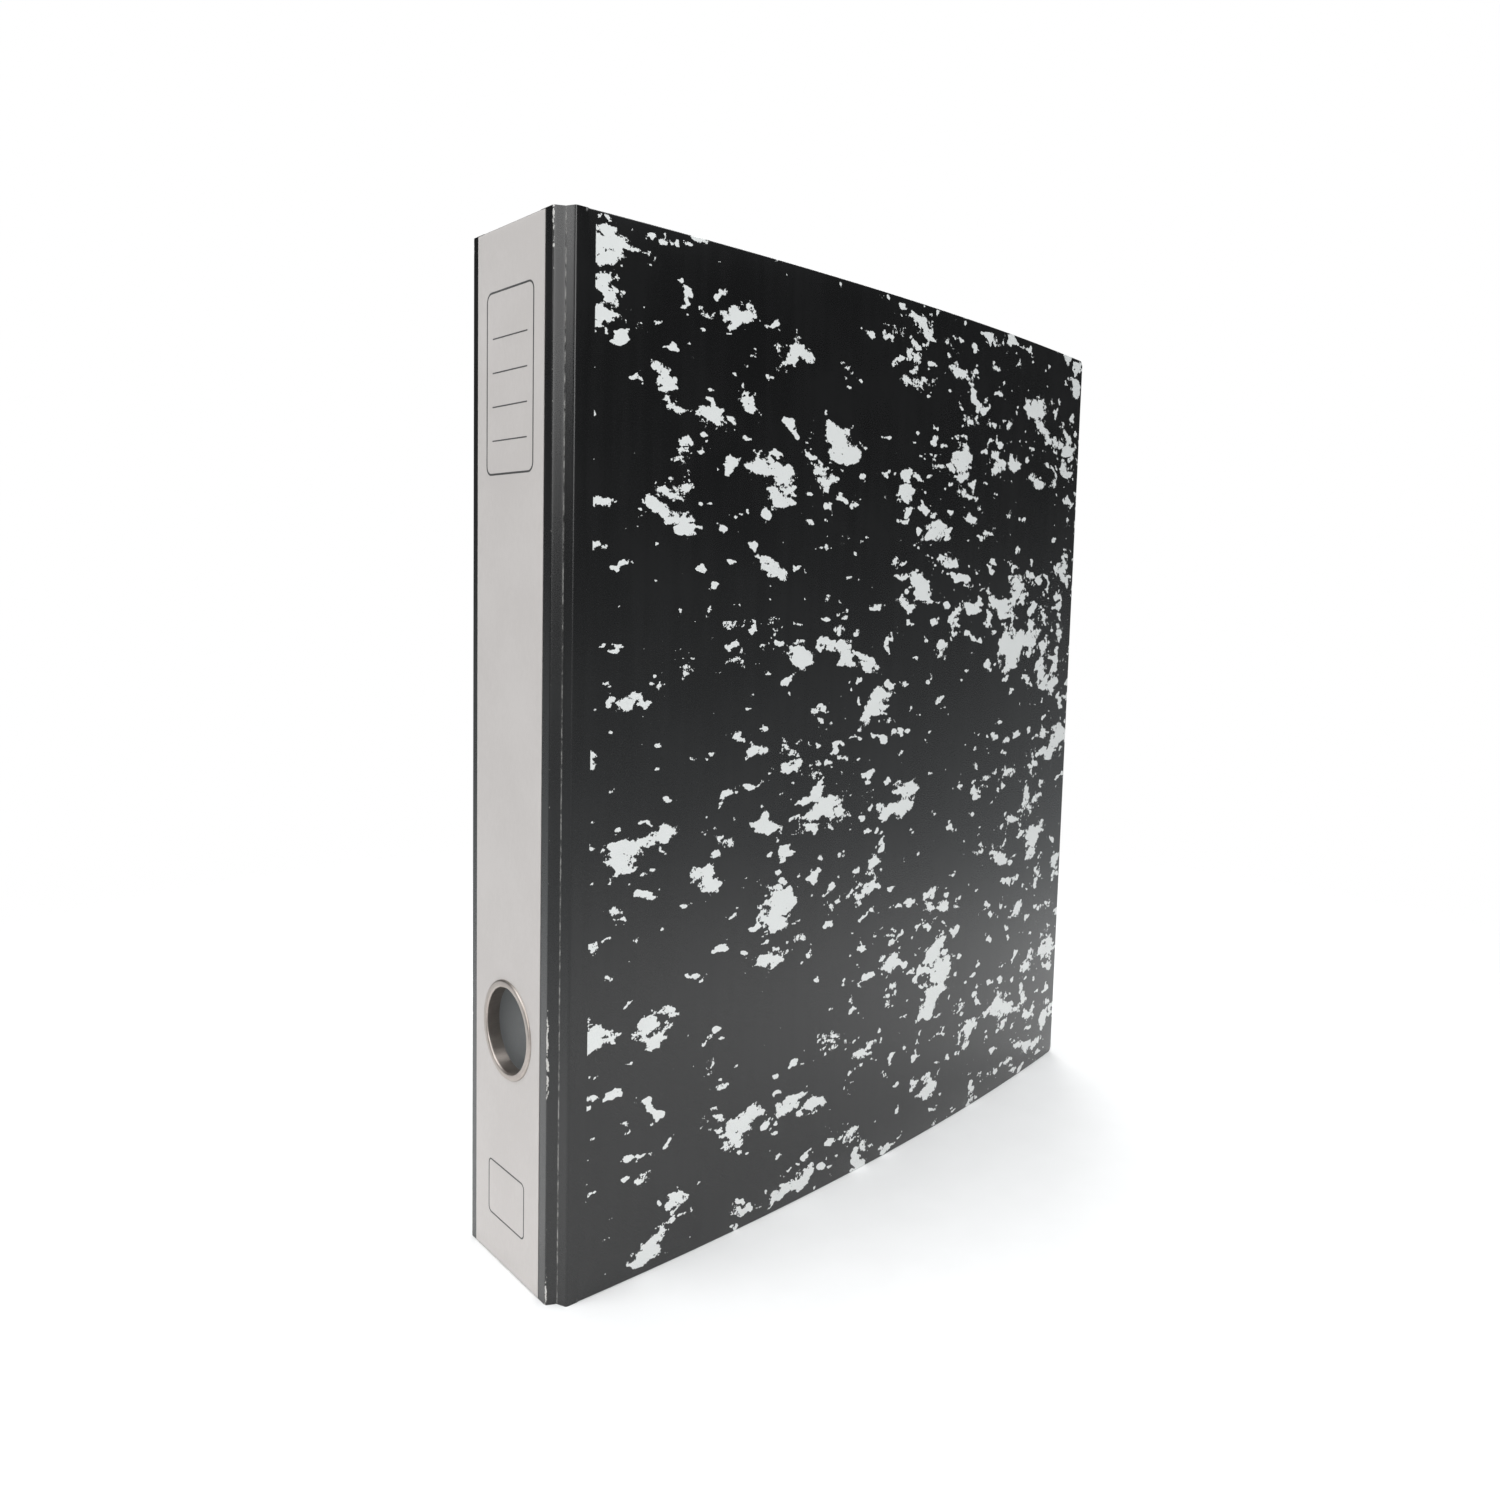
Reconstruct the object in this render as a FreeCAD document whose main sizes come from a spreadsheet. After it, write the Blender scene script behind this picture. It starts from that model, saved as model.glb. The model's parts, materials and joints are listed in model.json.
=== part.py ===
import FreeCAD, Part
import math
import os
import re

import Sketcher

# A lever arch file for A4 paper, standing upright with its spine towards -Y.
#
# The case is greyboard wrapped in printed paper outside and lined inside: a flat back cover, a spine with a
# finger ring, and a front cover bowed inwards towards its free edge. Paper hinge strips join the three.
# The mechanism is riveted to the inside of the back cover: two fixed posts, one bent wire that makes both
# swinging arches and the crank between them, a leaf spring that pushes the crank up, a lever whose roller
# presses the crank down, and a compressor bar that slides along the posts.
#
# Two frames are used. In the case frame, x runs across the thickness from the middle of the spine, y runs
# from the spine's paper towards the free edges and z runs up. In the mechanism frame, x runs from the
# spine's paper towards the free edges, y runs up from the middle of the height, and z rises from the
# lining of the back cover.

SIZES = {
    "case": {
        "file_height": 318,
        "cover_depth": 280,
        "spine_width": 50,
        "board": 2.2,
        "paper": 0.2,
        "lining": 0.2,
        "label_thickness": 0.15,
        "label_width": 42,
        "label_offset": -0.45,
        "corner_round": 2.5,
    },
    "hinges": {
        "groove_out": 1.5,
        "groove_back": 3,
        "shoulder_out": 4.7,
        "shoulder_back": 4.45,
        "strip_shift": 0.45,
    },
    "front cover bow": {
        "bow_radius": 1171,
        "bow_start": 1.3,
    },
    "finger ring": {
        "finger_height": 77,
        "finger_bore": 13.2,
        "ring_wall": 0.6,
        "ring_flange": 15.5,
        "ring_proud": 0.8,
        "ring_washer": 0.6,
        "ring_lip": 0.4,
        "ring_clearance": 0.2,
    },
    "base plate": {
        "plate": 1,
        "plate_near": 30,
        "plate_far": 88,
        "plate_length": 156,
        "plate_round": 6,
        "rivet_inset": 8,
        "rivet_shank": 1.6,
        "rivet_head": 4,
        "rivet_proud": 0.6,
        "rivet_clinch": 3,
        "rivet_clinch_height": 0.8,
        "seat_clearance": 0.03,
        "rib_height": 0.7,
        "rib_width": 5,
        "rib_place": 56,
    },
    "posts": {
        "post_spacing": 80,
        "post_place": 78,
        "post_radius": 2,
        "post_height": 26,
        "post_rim": 0.2,
        "post_foot": 1.5,
        "collar_radius": 3.2,
        "collar_height": 1.2,
    },
    "arches": {
        "wire_radius": 1.5,
        "arch_axis": 38,
        "arch_axis_height": 4,
        "arch_height": 39.5,
        "arch_round": 12,
        "foot_round": 4,
        "crank_reach": 20,
        "crank_half": 14,
        "crank_round": 3,
        "tip_clearance": 0.3,
        "tip_angle": 30,
        "bearing": 2,
        "bearing_wall": 2,
        "bearing_inner": 21,
        "bearing_outer": 32,
        "running_clearance": 0.05,
    },
    "lever": {
        "pivot_offset": 23,
        "pivot_height": 20,
        "pivot_radius": 1.5,
        "pivot_lobe": 4.5,
        "pin_head": 2.6,
        "pin_head_height": 0.8,
        "ear": 1,
        "ear_gap": 1,
        "ear_foot": 8.5,
        "ear_shoulder": 8,
        "sheet": 1,
        "lever_half": 8.2,
        "side_clearance": 0.3,
        "arm_end": 30,
        "arm_depth": 4,
        "thumb_end": 12.5,
        "thumb_start": 24,
        "thumb_drop": 1,
        "thumb_half": 14,
        "thumb_chamfer": 4,
        "curl_radius": 1.6,
    },
    "roller": {
        "roller_arm": 11,
        "roller_angle": 20,
        "roller_radius": 3.5,
        "roller_half": 6.7,
        "roller_chamfer": 0.5,
        "axle_radius": 1.25,
        "axle_head": 1.9,
        "axle_head_height": 0.6,
        "roller_lobe": 2.6,
    },
    "leaf spring": {
        "spring_sheet": 0.8,
        "spring_width": 11,
        "spring_root": 84,
        "spring_bend": 70,
        "spring_tip": 56,
        "spring_gap": 0.3,
        "spring_rivet_shank": 1.2,
        "spring_rivet_head": 2.2,
        "spring_rivet_height": 0.8,
        "spring_rivet_far": 81,
        "spring_rivet_near": 76,
    },
    "compressor": {
        "bar_length": 112,
        "bar_width": 14,
        "bar_sheet": 1,
        "bar_bottom": 2.4,
        "bar_top": 4.6,
        "bar_round": 5,
        "bush_barrel": 3.4,
        "bush_flange": 4.8,
        "bush_lower": 1,
        "bush_upper": 1.2,
        "bush_clearance": 0.1,
    },
}

# What follows from the sizes, in the same millimetres and degrees.
PLACES = {
    "half_spine": "spine_width / 2",
    "half_height": "file_height / 2",
    "wall": "paper + board + lining",
    "face": "half_spine + shoulder_out",
    "middle_x": "rivet_proud / 2",
    "middle_y": "(ring_proud - cover_depth) / 2",
    "bow_x": "face - bow_radius * cos(bow_start)",
    "bow_y": "shoulder_back - bow_radius * sin(bow_start)",
    "bow_turn": "asin((cover_depth - bow_y) / bow_radius) / 1deg - bow_start",
    "fold_x": "half_spine + groove_out - strip_shift",
    "fold_y": "groove_back + strip_shift",
    "strip_foot": "fold_y - (groove_out - strip_shift) * groove_back / groove_out",
    "strip_run": "shoulder_out - groove_out",
    "strip_rise": "shoulder_back - groove_back",
    "strip_share": "(shoulder_back - fold_y - tan(bow_start) * (face - fold_x))"
    " / (strip_rise - tan(bow_start) * strip_run)",
    "barrel_radius": "finger_bore + ring_wall",
    "finger_cut": "barrel_radius + ring_clearance",
    "finger_label_cut": "finger_cut + ring_clearance",
    "clinch_face": "wall + ring_washer",
    "rivet_up": "plate_length / 2 - rivet_inset",
    "half_posts": "post_spacing / 2",
    "post_seat": "plate + collar_height",
    "socket_radius": "post_radius - post_rim",
    "socket_depth": "socket_radius / tan(tip_angle)",
    "tip_point": "post_height - socket_depth + tip_clearance / sin(tip_angle)",
    "tip_base": "tip_point + wire_radius / tan(tip_angle)",
    "arch_bore": "wire_radius + running_clearance",
    "bearing_radius": "wire_radius + bearing_wall",
    "crank_place": "arch_axis + crank_reach",
    "ear_near": "crank_place + wire_radius + ear_gap",
    "pivot_place": "arch_axis + pivot_offset",
    "pivot_bore": "pivot_radius + running_clearance",
    "ear_inner": "lever_half + side_clearance",
    "ear_outer": "ear_inner + ear",
    "cheek_inner": "lever_half - sheet",
    "roller_place": "pivot_place - roller_arm * sin(roller_angle)",
    "roller_height": "pivot_height - roller_arm * cos(roller_angle)",
    "axle_bore": "axle_radius + seat_clearance",
    "lever_top": "pivot_height + pivot_lobe",
    "thumb_top": "lever_top - thumb_drop",
    "spring_slope": "(arch_axis_height - wire_radius - spring_gap - spring_sheet - plate)"
    " / (spring_bend - crank_place)",
    "spring_rise": "spring_slope * (spring_bend - spring_tip)",
    "spring_top": "plate + spring_sheet",
    "bar_under": "bar_top - bar_sheet",
    "bush_hole": "bush_barrel + seat_clearance",
}

document = FreeCAD.newDocument("lever_arch_file")


def make_sheet(name, rows):
    """A sheet with one named row for each (alias, content) pair."""
    sheet = document.addObject("Spreadsheet::Sheet", name)
    for number, (alias, content) in enumerate(rows, start=1):
        sheet.set(f"A{number}", alias)
        sheet.set(f"B{number}", str(content))
        sheet.setAlias(f"B{number}", alias)
    document.recompute()
    return sheet


SHEET_OF = {alias: "Sizes" for group in SIZES.values() for alias in group}
SHEET_OF.update({alias: "Places" for alias in PLACES})


def bound(text):
    """An expression with each sheet alias written in full, as the document's expressions need it."""
    return re.sub(r"[a-z]\w*", lambda m: f"{SHEET_OF[m[0]]}.{m[0]}" if m[0] in SHEET_OF else m[0], str(text))


sizes = make_sheet("Sizes", [row for group in SIZES.values() for row in group.items()])
places = make_sheet("Places", [(alias, "=" + bound(text)) for alias, text in PLACES.items()])


def value(text):
    """The number that an expression gives now."""
    return float(sizes.evalExpression(bound(text)))


RIVET_PLACES = ("plate_near + rivet_inset", "plate_far - rivet_inset")

CASE = ("middle_x", "middle_y", "0")
CASE_TURN = FreeCAD.Rotation()
MECHANISM = ("middle_x - face + wall", "middle_y", "half_height")
# A third of a turn about the cube's diagonal sends x to y, y to z and z to x.
MECHANISM_TURN = FreeCAD.Rotation(FreeCAD.Vector(1, 1, 1), 120)

sub_parts = []


def place(thing, base, turn, shift=("0", "0", "0")):
    """Puts an object at base, turned, with a shift measured in the turned axes."""
    thing.Placement = FreeCAD.Placement(FreeCAD.Vector(), turn)
    along = [turn.multVec(FreeCAD.Vector(*axis)) for axis in ((1, 0, 0), (0, 1, 0), (0, 0, 1))]
    for number, name in enumerate("xyz"):
        terms = [base[number]]
        for axis, step in zip(along, shift):
            if abs(axis[number]) > 0.5:
                terms.append(f"{round(axis[number])} * ({step})")
        thing.setExpression(f"Placement.Base.{name}", bound(" + ".join(terms)))


def keep(thing, label):
    """Marks an object as a finished sub-part."""
    thing.Label = label
    sub_parts.append(thing)


def new_body(label, base, turn, shift=("0", "0", "0")):
    body = document.addObject("PartDesign::Body", label)
    place(body, base, turn, shift)
    keep(body, label)
    return body


def new_sketch(body, plane, offset="0"):
    """A sketch on one of the body's own origin planes, moved along that plane's normal."""
    sketch = body.newObject("Sketcher::SketchObject", "Sketch")
    origin_plane = next(f for f in body.Origin.OriginFeatures if f.Role == plane)
    sketch.AttachmentSupport = [(origin_plane, "")]
    sketch.MapMode = "FlatFace"
    sketch.setExpression("AttachmentOffset.Base.z", bound(offset))
    return sketch


def tie(sketch, kind, *where, text):
    """Adds a dimension and binds it to the sheets."""
    number = sketch.addConstraint(Sketcher.Constraint(kind, *where, value(text)))
    name = f"size_{number}"
    sketch.renameConstraint(number, name)
    sketch.setExpression(f"Constraints.{name}", bound(text))


def tie_point(sketch, geometry, which, across, up):
    """Dimensions one point of the sketch from the sketch's origin."""
    tie(sketch, "DistanceX", -1, 1, geometry, which, text=across)
    tie(sketch, "DistanceY", -1, 1, geometry, which, text=up)


def draw_polygon(sketch, corners):
    """A closed outline of straight lines through corners given as pairs of expressions."""
    points = [FreeCAD.Vector(value(across), value(up), 0) for across, up in corners]
    first = sketch.GeometryCount
    count = len(points)
    for number in range(count):
        sketch.addGeometry(Part.LineSegment(points[number], points[(number + 1) % count]), False)
    for number in range(count):
        following = first + (number + 1) % count
        sketch.addConstraint(Sketcher.Constraint("Coincident", first + number, 2, following, 1))
    for number, (across, up) in enumerate(corners):
        tie_point(sketch, first + number, 1, across, up)


def draw_rectangle(sketch, left, low, right, high):
    draw_polygon(sketch, [(left, low), (right, low), (right, high), (left, high)])


def draw_circle(sketch, across, up, radius):
    centre = FreeCAD.Vector(value(across), value(up), 0)
    number = sketch.addGeometry(Part.Circle(centre, FreeCAD.Vector(0, 0, 1), value(radius)), False)
    tie_point(sketch, number, 3, across, up)
    tie(sketch, "Radius", number, text=radius)


def extrude(body, sketch, length, middle=False, reverse=False, cut=False):
    """A Pad or Pocket of the sketch, checked to have added or removed material."""
    document.recompute()
    before = body.Shape.Volume if body.Tip else 0
    feature = body.newObject("PartDesign::Pocket" if cut else "PartDesign::Pad", "Feature")
    feature.Profile = sketch
    feature.setExpression("Length", bound(length))
    feature.Midplane = middle
    feature.Reversed = reverse
    document.recompute()
    gained = body.Shape.Volume - before
    if (gained > 0) == cut or abs(gained) < 1e-6:
        raise ValueError(f"{body.Label}: a feature changed the volume by {gained}")
    return feature


def revolve(body, sketch, angle=None):
    """Turns the sketch about its own vertical axis, all the way round unless an angle is given."""
    feature = body.newObject("PartDesign::Revolution", "Revolution")
    feature.Profile = sketch
    feature.ReferenceAxis = (sketch, ["V_Axis"])
    feature.Angle = 360
    if angle:
        feature.setExpression("Angle", bound(angle))
    document.recompute()
    return feature


def dress(body, kind, size, chosen):
    """A Fillet or Chamfer on the edges of the body's tip that chosen(edge) picks."""
    base = body.Tip
    names = [f"Edge{n}" for n, edge in enumerate(base.Shape.Edges, start=1) if chosen(edge)]
    if not names:
        raise ValueError(f"{body.Label}: no edge to dress")
    feature = body.newObject(f"PartDesign::{kind}", kind)
    feature.Base = (base, names)
    feature.setExpression("Radius" if kind == "Fillet" else "Size", bound(size))
    document.recompute()
    if feature.Shape.isNull():
        raise ValueError(f"{body.Label}: the {kind} of {len(names)} edges failed")


def runs_along(edge, axis):
    """Whether an edge is a straight one along the given axis number of its body."""
    spans = [edge.BoundBox.XLength, edge.BoundBox.YLength, edge.BoundBox.ZLength]
    return all(span < 1e-6 for n, span in enumerate(spans) if n != axis) and spans[axis] > 1e-6


def near(number, text):
    return abs(number - value(text)) < 1e-4


# ---- the case ----


def make_spine_layer(label, inner, thickness, half_width, middle="0", hole="finger_cut"):
    """One flat layer of the spine, pierced for the finger ring. It starts at inner behind the paper's face."""
    body = new_body(label, CASE, CASE_TURN)
    sketch = new_sketch(body, "XZ_Plane", f"-({inner})")
    draw_rectangle(sketch, f"{middle} - ({half_width})", "0", f"{middle} + {half_width}", "file_height")
    draw_circle(sketch, "0", "finger_height", hole)
    extrude(body, sketch, thickness, reverse=True)


def make_front_layer(label, depth, thickness):
    """One layer of the bowed front cover, depth behind its outer face: a sector of a thin tall ring."""
    base = ("middle_x + bow_x", "middle_y + bow_y", "0")
    body = new_body(label, base, FreeCAD.Rotation(FreeCAD.Vector(0, 0, 1), value("bow_start")))
    body.setExpression("Placement.Rotation.Angle", bound("bow_start"))
    sketch = new_sketch(body, "XZ_Plane")
    outer = f"bow_radius - ({depth})"
    draw_rectangle(sketch, f"{outer} - {thickness}", "0", outer, "file_height")
    revolve(body, sketch, "bow_turn")
    far = value("bow_radius * sin(bow_turn)") / 2

    def at_free_corner(edge):
        return abs(edge.Length - value(thickness)) < 1e-6 and abs(edge.CenterOfMass.y) > far

    dress(body, "Fillet", "corner_round", at_free_corner)


def make_back_layer(label, depth, thickness):
    """One layer of the flat back cover, depth behind its outer face, pierced for the mechanism's rivets."""
    body = new_body(label, MECHANISM, MECHANISM_TURN)
    sketch = new_sketch(body, "XY_Plane", f"{depth} - wall")
    draw_rectangle(sketch, "shoulder_back", "-half_height", "cover_depth", "half_height")
    for across in RIVET_PLACES:
        for side in (1, -1):
            draw_circle(sketch, across, f"{side} * rivet_up", "rivet_shank + seat_clearance")
    extrude(body, sketch, thickness)

    def at_free_corner(edge):
        return runs_along(edge, 2) and near(edge.CenterOfMass.x, "cover_depth")

    dress(body, "Fillet", "corner_round", at_free_corner)


def make_hinge_strip(label, side):
    """The folded strip of wrap from the spine's corner through the groove to the cover's shoulder."""
    body = new_body(label, CASE, CASE_TURN)
    sketch = new_sketch(body, "XY_Plane")
    outline = [
        ("half_spine", "0"),
        ("half_spine + groove_out", "groove_back"),
        ("face", "shoulder_back"),
        ("fold_x + strip_share * strip_run", "fold_y + strip_share * strip_rise"),
        ("fold_x", "fold_y"),
        ("half_spine", "strip_foot"),
    ]
    if side < 0:
        # The back cover isn't tilted, so its strip ends square.
        outline[3] = ("fold_x + strip_run * (shoulder_back - fold_y) / strip_rise", "shoulder_back")
    draw_polygon(sketch, [(f"{side} * ({across})", back) for across, back in outline])
    extrude(body, sketch, "file_height")


def make_finger_rings():
    """The eyelet seen on the spine, and the washer that its rolled lip holds inside."""
    base = ("middle_x", "middle_y", "finger_height")
    inwards = FreeCAD.Rotation(FreeCAD.Vector(1, 0, 0), -90)
    eyelet = new_body("finger_ring_outer", base, inwards)
    sketch = new_sketch(eyelet, "XZ_Plane")
    lip = "barrel_radius + ring_wall"
    draw_polygon(
        sketch,
        [
            ("finger_bore", "-ring_proud + ring_lip / 2"),
            ("finger_bore + ring_lip", "-ring_proud"),
            ("ring_flange - ring_lip", "-ring_proud"),
            ("ring_flange", "-label_thickness - ring_lip / 2"),
            ("ring_flange", "-label_thickness"),
            ("barrel_radius", "-label_thickness"),
            ("barrel_radius", "clinch_face"),
            (lip, "clinch_face"),
            (lip, "clinch_face + ring_lip"),
            ("finger_bore", "clinch_face + ring_lip"),
        ],
    )
    revolve(eyelet, sketch)
    washer = new_body("finger_ring_inner", base, inwards)
    sketch = new_sketch(washer, "XZ_Plane")
    draw_rectangle(sketch, "barrel_radius + seat_clearance", "wall", "ring_flange", "clinch_face")
    revolve(washer, sketch)
    outer_rim = 6 * value("ring_flange")

    def at_outer_rim(edge):
        return edge.Length > outer_rim and edge.BoundBox.ZMin > value("wall") + 0.1

    dress(washer, "Chamfer", "ring_washer / 3", at_outer_rim)


# ---- the mechanism ----


def make_base_plate():
    """The steel plate with its pressed ribs, the arch wire's four bearings and the lever's two ears."""
    body = new_body("base_plate", MECHANISM, MECHANISM_TURN)
    sketch = new_sketch(body, "XY_Plane")
    draw_rectangle(sketch, "plate_near", "-plate_length / 2", "plate_far", "plate_length / 2")
    for across in RIVET_PLACES:
        for side in (1, -1):
            draw_circle(sketch, across, f"{side} * rivet_up", "rivet_shank + seat_clearance")
    for side in (1, -1):
        draw_circle(sketch, "post_place", f"{side} * half_posts", "post_foot + seat_clearance")
    for across in ("spring_rivet_near", "spring_rivet_far"):
        draw_circle(sketch, across, "0", "spring_rivet_shank + seat_clearance")
    extrude(body, sketch, "plate")

    def at_corner(edge):
        across = edge.CenterOfMass.x
        return runs_along(edge, 2) and (near(across, "plate_near") or near(across, "plate_far"))

    dress(body, "Fillet", "plate_round", at_corner)
    for side in (1, -1):
        sketch = new_sketch(body, "XY_Plane", "plate")
        middle = f"{side} * rib_place"
        left, right = RIVET_PLACES
        draw_rectangle(sketch, left, f"{middle} - rib_width / 2", right, f"{middle} + rib_width / 2")
        extrude(body, sketch, "rib_height")
    for middle in ("bearing_outer", "bearing_inner", "-bearing_inner", "-bearing_outer"):
        sketch = new_sketch(body, "XZ_Plane", middle)
        left, right = "arch_axis - bearing_radius", "arch_axis + bearing_radius"
        draw_rectangle(sketch, left, "plate", right, "arch_axis_height")
        extrude(body, sketch, "bearing", middle=True)
        sketch = new_sketch(body, "XZ_Plane", middle)
        draw_circle(sketch, "arch_axis", "arch_axis_height", "bearing_radius")
        extrude(body, sketch, "bearing", middle=True)
    sketch = new_sketch(body, "XZ_Plane")
    draw_circle(sketch, "arch_axis", "arch_axis_height", "arch_bore")
    extrude(body, sketch, "plate_length", middle=True, cut=True)
    make_lever_ears(body)


def make_lever_ears(body):
    """Two ears that carry the pivot pin, set behind the crank's sweep and leaning over it at the top."""
    for side in (1, -1):
        middle = f"{side} * (ear_inner + ear / 2)"
        sketch = new_sketch(body, "XZ_Plane", middle)
        draw_polygon(
            sketch,
            [
                ("ear_near", "plate"),
                ("ear_near + ear_foot", "plate"),
                ("pivot_place + pivot_lobe", "pivot_height"),
                ("pivot_place - pivot_lobe", "pivot_height"),
                ("ear_near", "plate + ear_shoulder"),
            ],
        )
        extrude(body, sketch, "ear", middle=True)
        sketch = new_sketch(body, "XZ_Plane", middle)
        draw_circle(sketch, "pivot_place", "pivot_height", "pivot_lobe")
        extrude(body, sketch, "ear", middle=True)
    sketch = new_sketch(body, "XZ_Plane")
    draw_circle(sketch, "pivot_place", "pivot_height", "pivot_radius + seat_clearance")
    extrude(body, sketch, "2 * ear_outer", middle=True, cut=True)


def make_post(label, side):
    """A fixed post with a riveted foot, a collar and a conical socket for the arch's point."""
    body = new_body(label, MECHANISM, MECHANISM_TURN, ("post_place", f"{side} * half_posts", "0"))
    sketch = new_sketch(body, "XZ_Plane")
    draw_polygon(
        sketch,
        [
            ("0", "0"),
            ("post_foot", "0"),
            ("post_foot", "plate"),
            ("collar_radius", "plate"),
            ("collar_radius", "post_seat"),
            ("post_radius", "post_seat"),
            ("post_radius", "post_height"),
            ("socket_radius", "post_height"),
            ("0", "post_height - socket_depth"),
        ],
    )
    revolve(body, sketch)


def rounded_path(corners, radii):
    """A wire of straight runs through the corners, each inner corner rounded by a tangent arc."""
    edges = []
    start = corners[0]
    for before, corner, after, radius in zip(corners, corners[1:], corners[2:], radii):
        arriving = (before - corner).normalize()
        leaving = (after - corner).normalize()
        half_angle = arriving.getAngle(leaving) / 2
        reach = radius / math.tan(half_angle)
        bulge = radius / math.sin(half_angle) - radius
        first = corner + arriving * reach
        last = corner + leaving * reach
        through = corner + (arriving + leaving).normalize() * bulge
        edges.append(Part.LineSegment(start, first).toShape())
        edges.append(Part.Arc(first, through, last).toShape())
        start = last
    edges.append(Part.LineSegment(start, corners[-1]).toShape())
    return Part.Wire(edges)


def make_arch_wire():
    """One round wire bent out of any plane: arch, foot, axis, crank, axis, foot, arch, with pointed tips."""
    axis, low, high = value("arch_axis"), value("arch_axis_height"), value("arch_height")
    post, base, point = value("post_place"), value("tip_base"), value("tip_point")
    half_posts, half_crank, crank = value("half_posts"), value("crank_half"), value("crank_place")
    radius = value("wire_radius")
    half = [
        (post, half_posts, base),
        (post, half_posts, high),
        (axis, half_posts, high),
        (axis, half_posts, low),
        (axis, half_crank, low),
        (crank, half_crank, low),
    ]
    corners = [FreeCAD.Vector(*corner) for corner in half]
    corners += [FreeCAD.Vector(corner.x, -corner.y, corner.z) for corner in reversed(corners)]
    bends = ["arch_round", "arch_round", "foot_round", "crank_round", "crank_round"]
    radii = [value(bend) for bend in bends + bends[::-1]]
    section = Part.Wire(Part.makeCircle(radius, corners[0], FreeCAD.Vector(0, 0, 1)))
    wire = rounded_path(corners, radii).makePipeShell([section], True, False)
    for side in (1, -1):
        tip = FreeCAD.Vector(post, side * half_posts, point)
        wire = wire.fuse(Part.makeCone(0, radius, base - point, tip))
    thing = document.addObject("Part::Feature", "arch_wire")
    thing.Shape = wire.removeSplitter()
    place(thing, MECHANISM, MECHANISM_TURN)
    keep(thing, "arch_wire")


def make_lever():
    """The folded steel lever: two cheeks under a top plate, a flat thumb plate and its rolled end."""
    body = new_body("lever", MECHANISM, MECHANISM_TURN)
    sketch = new_sketch(body, "XZ_Plane")
    draw_polygon(
        sketch,
        [
            ("pivot_place + roller_lobe", "pivot_height"),
            ("pivot_place + roller_lobe", "lever_top"),
            ("arm_end", "lever_top"),
            ("arm_end", "lever_top - arm_depth"),
            ("pivot_place - 3 * pivot_lobe", "pivot_height - pivot_lobe / 2"),
            ("roller_place - roller_lobe", "roller_height"),
            ("roller_place + roller_lobe", "roller_height"),
        ],
    )
    extrude(body, sketch, "2 * lever_half", middle=True)
    lobes = [("pivot_place", "pivot_height", "pivot_lobe"), ("roller_place", "roller_height", "roller_lobe")]
    for lobe in lobes:
        sketch = new_sketch(body, "XZ_Plane")
        draw_circle(sketch, *lobe)
        extrude(body, sketch, "2 * lever_half", middle=True)
    sketch = new_sketch(body, "XZ_Plane")
    draw_rectangle(sketch, "arm_end - sheet", "0", "pivot_place + 2 * pivot_lobe", "lever_top - sheet")
    extrude(body, sketch, "2 * cheek_inner", middle=True, cut=True)
    sketch = new_sketch(body, "XZ_Plane")
    draw_polygon(
        sketch,
        [
            ("arm_end + sheet", "lever_top"),
            ("thumb_start", "thumb_top"),
            ("thumb_end", "thumb_top"),
            ("thumb_end", "thumb_top - sheet"),
            ("thumb_start", "thumb_top - sheet"),
            ("arm_end + sheet", "lever_top - sheet"),
        ],
    )
    extrude(body, sketch, "2 * lever_half", middle=True)
    sketch = new_sketch(body, "XZ_Plane")
    draw_rectangle(sketch, "thumb_end", "thumb_top - sheet", "thumb_start", "thumb_top")
    extrude(body, sketch, "2 * thumb_half", middle=True)

    def at_thumb_corner(edge):
        middle = edge.CenterOfMass
        return runs_along(edge, 2) and near(middle.x, "thumb_start") and near(abs(middle.y), "thumb_half")

    dress(body, "Chamfer", "thumb_chamfer", at_thumb_corner)
    sketch = new_sketch(body, "XZ_Plane")
    draw_circle(sketch, "thumb_end", "thumb_top - curl_radius", "curl_radius")
    extrude(body, sketch, "2 * thumb_half", middle=True)
    bores = [
        ("pivot_place", "pivot_height", "pivot_bore"),
        ("roller_place", "roller_height", "axle_bore"),
    ]
    for bore in bores:
        sketch = new_sketch(body, "XZ_Plane")
        draw_circle(sketch, *bore)
        extrude(body, sketch, "2 * lever_half", middle=True, cut=True)


def make_headed_pin(label, across, up, radius, half_grip, head, head_height):
    """A pin across the mechanism with a flat head at each end."""
    body = new_body(label, MECHANISM, MECHANISM_TURN)
    sketch = new_sketch(body, "XZ_Plane")
    draw_circle(sketch, across, up, radius)
    extrude(body, sketch, f"2 * ({half_grip})", middle=True)
    for side in (1, -1):
        sketch = new_sketch(body, "XZ_Plane", f"{side} * ({half_grip})")
        draw_circle(sketch, across, up, head)
        extrude(body, sketch, head_height, reverse=side < 0)


def make_roller():
    body = new_body("roller", MECHANISM, MECHANISM_TURN)
    sketch = new_sketch(body, "XZ_Plane")
    draw_circle(sketch, "roller_place", "roller_height", "roller_radius")
    draw_circle(sketch, "roller_place", "roller_height", "axle_radius + running_clearance")
    extrude(body, sketch, "2 * roller_half", middle=True)
    rim = 6 * value("roller_radius")

    def at_rim(edge):
        return len(edge.Vertexes) == 1 and edge.Length > rim

    dress(body, "Chamfer", "roller_chamfer", at_rim)


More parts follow.
